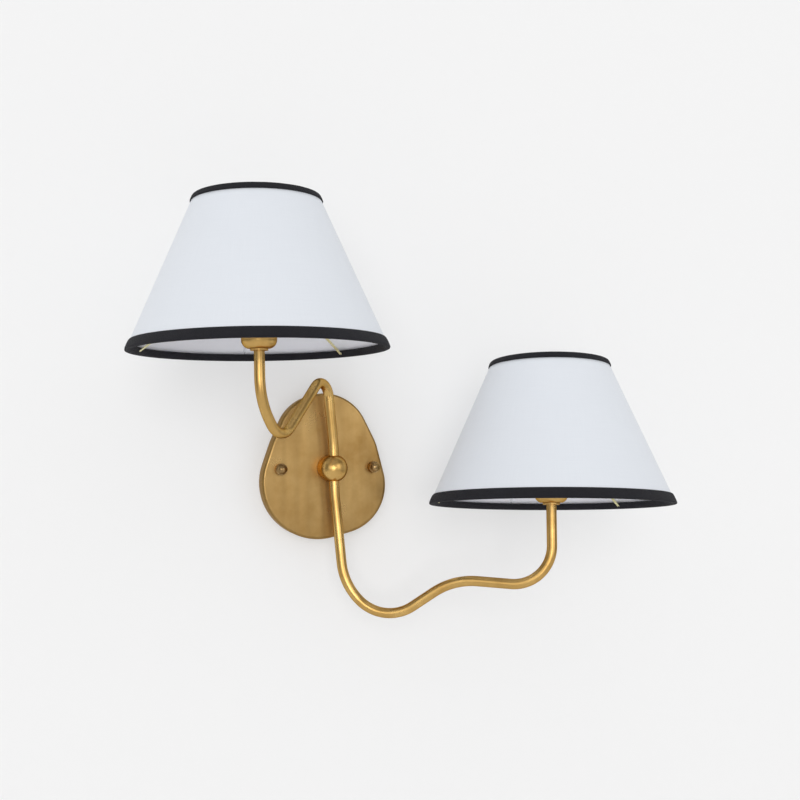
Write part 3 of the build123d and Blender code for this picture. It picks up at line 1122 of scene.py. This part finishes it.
@dataclass
class Shade(Lamp):
    """A cone shade: cloth on a liner, bound edges, and the spider that carries it."""

    skin: float = 0.8 * MM  # cloth and liner together
    swell: float = 1.25 * MM  # how far the binding bulges out
    swell_power: int = 4  # the higher, the flatter the bulge's middle
    swell_shares: tuple[float, ...] = (0.97, 0.9, 0.75, 0.5, 0.25, 0.08)  # its points
    hem: float = 0.25 * MM  # the binding's thickness at its ends
    edge_dip: float = 0.1 * MM  # how far it runs past the cone's edge
    fold_dip: float = 0.2 * MM  # how far it bulges inwards
    corner: float = 0.7 * MM
    corner_steps: int = 3
    touch: float = 0.02 * MM  # between binding and cone
    rows: int = 16
    binding_rows: int = 97
    lap: Pair = (0.1 * MM, 0.03)
    cloth_ripple: Pair = (0.05 * MM, 20.0)
    binding_ripple: Pair = (0.32 * MM, 110.0)
    cone: Cone = field(init=False)

    def __post_init__(self) -> None:
        """Read the cone's sizes off its CAD node."""
        node = self.node("shade_cone")
        low, high = self.stem.span(node)
        self.cone = Cone(low, high, self.stem.widest(node, low), self.stem.widest(node, high))

    def build(self) -> None:
        """Make the cloth and bindings, and dress the wires."""
        self.dress(["spider_arms", "fitter_ring", "bottom_wire", "top_wire"], WIRE_BRASS)
        self.cloth()
        low, high = self.stem.span(self.node("bottom_trim"))
        self.bind("bottom_trim", low, high)
        low, high = self.stem.span(self.node("top_trim"))
        self.bind("top_trim", high, low)

    def cloth(self) -> None:
        """Roll the cloth and its liner into a cone, with a lapped seam towards the wall."""
        made = self.shop.turn(
            self.full("shade_cloth"),
            self.cone.edges,
            self.stem,
            SHADE_CLOTH,
            self.rows,
            map_radius=(self.cone.foot + self.cone.head) / 2,
            ripple=self.cloth_ripple,
            lap=self.lap,
        )
        made.data.materials.append(self.shop.wardrobe.get(SHADE_LINER))
        solid = made.modifiers.new("skin", "SOLIDIFY")
        solid.thickness = self.skin
        solid.offset = -1.0
        solid.material_offset = 1
        solid.use_even_offset = True
        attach(made, self.full("shade"))
        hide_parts(self.full("shade_cone"))
        LOG.info("rolled %s", made.name)

    def binding_section(self, wide: float, inner: float, fold: float) -> list[Pair]:
        """The closed section of a binding: how far out from the cone, and how far from its edge.

        Args:
            wide: how far from the edge the outer band ends.
            inner: how far out the fold's inner face lies, so less than 0.
            fold: how far from the edge the fold ends.

        Returns:
            The section, with rounded corners.
        """
        raw = [(self.hem, wide - self.edge_dip)]
        for share in self.swell_shares:
            bulge = self.swell * (1 - (2 * share - 1) ** self.swell_power) ** 0.5
            raw.append((self.hem + bulge, wide * share))
        raw += [
            (self.hem, 0.0),
            (inner / 2, -self.edge_dip),
            (inner, self.fold_dip),
            (inner - self.fold_dip, fold / 2),
            (inner, fold - self.fold_dip),
            (inner + self.hem, fold),
            (inner + self.hem, self.skin / 2),
            (self.touch, self.skin / 2),
            (self.touch, wide - self.hem),
        ]
        return rounded(raw, self.corner, self.corner_steps)

    def bind(self, name: str, edge: float, band: float) -> None:
        """Fold the binding cloth over an edge of the cone.

        Args:
            name: the CAD binding that it stands for.
            edge: the height of the shade's very edge.
            band: the height at which the outer band ends.
        """
        up = math.copysign(1.0, band - edge)
        wide = abs(band - edge)
        places = self.stem.places(self.node(name))
        inner = min(r - self.cone.radius(h) for r, h in places)
        fold = max(abs(h - edge) for r, h in places if r - self.cone.radius(h) < inner / 2)
        section = []
        for outward, reach in self.binding_section(wide, inner, fold):
            height = edge + up * reach
            section.append((self.cone.radius(height) + outward, height))
        made = self.shop.turn(
            self.full(name + "_cloth"),
            section,
            self.stem,
            BINDING_CLOTH,
            self.binding_rows,
            map_radius=self.cone.radius(edge),
            ripple=self.binding_ripple,
            ring=True,
        )
        if up > 0:  # the section runs the other way round, which turns its faces inwards
            made.data.flip_normals()
        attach(made, self.full("shade"))
        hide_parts(self.full(name))
        LOG.info("bound %s", made.name)


# ---- studio ------------------------------------------------------------------------------------


@dataclass(frozen=True)
class Panel:
    """A soft rectangular lamp that only shows in what is glossy."""

    name: str
    place: Triple
    size: Pair
    glow: float  # how bright it looks, beside a white of 1
    tone: Colour

    def hang(self, aim: Triple) -> None:
        """Hang the lamp in its place.

        Args:
            aim: the point that it faces.
        """
        light = bpy.data.lights.new(self.name, "AREA")
        light.shape = "RECTANGLE"
        light.size, light.size_y = self.size
        light.energy = self.glow * math.pi * self.size[0] * self.size[1]
        light.color = self.tone
        lamp = stand(self.name, light)
        lamp.location = self.place
        facing = Vector(aim) - Vector(self.place)
        lamp.rotation_euler = facing.to_track_quat("-Z", "Y").to_euler()
        lamp.visible_diffuse = False


@dataclass
class Studio:
    """The wall, the floor, the lights and the camera."""

    camera_place: Triple = (-0.2016, -1.1053, 0.0175)
    focal_pixels: float = 1112.2
    pitch: float = 2.51  # degrees, like every angle below
    roll: float = -1.25
    heading: float = 14.4
    sensor: float = 36.0
    near_clip: float = 0.01
    wall_tone: float = 0.62
    wall_glow: float = 0.308
    # below 1, the brass mirrors a wall painted darker than the room sees: a painted reflection
    wall_in_brass: float = 0.75  # how bright the brass mirrors the wall
    wall_half: float = 3.0
    wall_gap: float = 0.6 * MM
    box_hole: float = 0.045  # the radius of the wiring box's hole in the wall
    hole_steps: int = 48
    floor_height: float = -0.9
    floor_tone: float = 0.86
    ambient: float = 0.74
    around_brass: float = 0.22
    backdrop: float = 0.90
    sun_height: float = 5.0
    sun_heading: float = 12.0
    sun_spread: float = 34.0
    sun_share: float = 0.25
    panel_aim: Triple = (0.05, -0.05, 0.0)
    panels: tuple[Panel, ...] = (
        Panel("front_panel", (1.35, -2.3, 0.6), (1.8, 2.0), 1.45, WHITE),
        Panel("left_panel", (-1.3, -1.5, 0.5), (0.9, 1.6), 0.9, (1.0, 1.0, 0.98)),
        Panel("top_panel", (0.1, -0.9, 1.6), (1.2, 0.8), 0.8, (1.0, 0.99, 0.97)),
    )

    def build(self) -> None:
        """Set the stage, the lights and the camera."""
        self.world()
        self.wall()
        self.floor()
        self.lights()
        self.camera()

    def world(self) -> None:
        """Fill the room with soft light, and show plain white beyond the wall."""
        world = bpy.data.worlds.new("soft_room")
        bpy.context.scene.world = world
        graph = Graph(world)
        path = graph.add("LightPath").outputs
        seen = graph.math("MAXIMUM", path["Is Camera Ray"], path["Is Transmission Ray"])
        room = graph.spread(path["Is Glossy Ray"], WHOLE, (self.ambient, self.around_brass))
        background = graph.add("Background")
        graph.put(background.inputs["Color"], WHITE)
        strength = graph.spread(seen, WHOLE, (room, self.backdrop))
        graph.put(background.inputs["Strength"], strength)
        graph.close(background.outputs[0], "World")

    def paint(
        self, name: str, tone: float, glow: float = 0.0, wall: bool = False
    ) -> bpy.types.Material:
        """A flat pale paint.

        Args:
            name: the material's name.
            tone: how much light it sends back.
            glow: the even light that it adds, which keeps its shadows pale.
            wall: whether its back is clear and what is glossy sees it darker.

        Returns:
            The material.
        """
        graph = Graph(bpy.data.materials.new(name))
        paint = graph.add("BsdfDiffuse")
        graph.put(paint.inputs["Color"], (tone, tone, tone))
        surface = paint.outputs[0]
        if wall:
            lit = graph.add("Emission")
            lit.inputs["Strength"].default_value = glow
            both = graph.add("AddShader")
            graph.put(both.inputs[0], surface)
            graph.put(both.inputs[1], lit.outputs[0])
            # Glossy rays see the wall blended towards black, so the brass mirrors a darker wall
            # than the room sees: a painted reflection.
            path = graph.add("LightPath")
            unseen = 1.0 - self.wall_in_brass
            dark = graph.spread(path.outputs["Is Glossy Ray"], WHOLE, (0.0, unseen))
            reflection_dark = graph.add("BsdfDiffuse")
            graph.put(reflection_dark.inputs["Color"], BLACK)
            dimmed = self.blended(graph, dark, both.outputs[0], reflection_dark.outputs[0])
            side = graph.add("NewGeometry").outputs["Backfacing"]
            surface = self.blended(graph, side, dimmed, graph.add("BsdfTransparent").outputs[0])
        graph.close(surface)
        return graph.owner

    @staticmethod
    def blended(graph: Graph, share: Socket, first: Socket, second: Socket) -> Socket:
        """Blend two shaders.

        Args:
            graph: the material's graph.
            share: how much of the second.
            first: the first shader.
            second: the second shader.

        Returns:
            The blend.
        """
        mix = graph.add("MixShader")
        for place, value in enumerate((share, first, second)):
            graph.put(mix.inputs[place], value)
        return mix.outputs[0]

    def wall(self) -> None:
        """Put up the wall, with the round hole of the wiring box behind the pan."""
        steps = self.hole_steps
        angles = [k * math.tau / steps for k in range(steps)]
        points = [
            (math.cos(angle) * radius, self.wall_gap, math.sin(angle) * radius)
            for radius in (self.box_hole, self.wall_half)
            for angle in angles
        ]
        faces = []
        for k in range(steps):
            following = (k + 1) % steps
            faces.append((k, following, steps + following, steps + k))
        mesh = bpy.data.meshes.new("wall")
        mesh.from_pydata(points, [], faces)
        mesh.materials.append(self.paint("wall_paint", self.wall_tone, self.wall_glow, True))
        if mesh.polygons[0].normal.y > 0:
            mesh.flip_normals()
        wall = stand("wall", mesh)

    def floor(self) -> None:
        """Lay the floor, well below the object."""
        half = self.wall_half
        z = self.floor_height
        square = [(-half, -half, z), (half, -half, z), (half, half, z), (-half, half, z)]
        mesh = bpy.data.meshes.new("floor")
        mesh.from_pydata(square, [], [(0, 1, 2, 3)])
        mesh.materials.append(self.paint("floor_paint", self.floor_tone))
        floor = stand("floor", mesh)

    def lights(self) -> None:
        """Light the wall evenly from the front, and hang panels for the brass to mirror."""
        light = bpy.data.lights.new("front_light", "SUN")
        light.angle = math.radians(self.sun_spread)
        light.energy = self.sun_share * math.pi
        sun = stand("front_light", light)
        height, heading = math.radians(self.sun_height), math.radians(self.sun_heading)
        level = Vector((math.sin(heading), math.cos(heading), 0.0))
        shine = level * math.cos(height) - Vector((0.0, 0.0, math.sin(height)))
        sun.rotation_euler = shine.to_track_quat("-Z", "Y").to_euler()
        for panel in self.panels:
            panel.hang(self.panel_aim)

    def camera(self) -> None:
        """Stand the camera where the photograph was taken from."""
        pitch, roll, heading = (math.radians(v) for v in (self.pitch, self.roll, self.heading))
        look = Vector((0.0, math.cos(pitch), math.sin(pitch)))
        right = Vector((1.0, 0.0, 0.0))
        above = right.cross(look)
        across = right * math.cos(roll) + above * math.sin(roll)
        upright = above * math.cos(roll) - right * math.sin(roll)
        turn = Matrix.Rotation(-heading, 3, "Z")
        across, upright, look = (turn @ v for v in (across, upright, look))
        data = bpy.data.cameras.new("camera")
        data.sensor_width = self.sensor
        data.lens = self.focal_pixels * self.sensor / PHOTO_SIDE
        data.clip_start = self.near_clip
        camera = stand("camera", data)
        rows = list(zip(across, upright, -look, self.camera_place))
        camera.matrix_world = Matrix([*rows, (0.0, 0.0, 0.0, 1.0)])
        bpy.context.scene.camera = camera
        bpy.context.scene.view_settings.view_transform = "Standard"


def corners(box: tuple[Vector, Vector]) -> list[list[float]]:
    """A box's two corners as plain lists."""
    return [list(corner) for corner in box]


def main() -> None:
    """Dress the frame, build the cloth and set the studio."""
    logging.basicConfig(level=logging.INFO)
    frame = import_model()
    nodes = frame["nodes"]
    shop = Workshop(Wardrobe(), turning_recipe(), thread_recipe())
    Studio().build()
    Canopy(shop, nodes).build()
    Arms(shop, nodes).build()
    for side in Side:
        stem = Stem.of_side(frame, side)
        Holder(shop, nodes, side, stem).build()
        Shade(shop, nodes, side, stem).build()


if __name__ == "__main__":
    main()
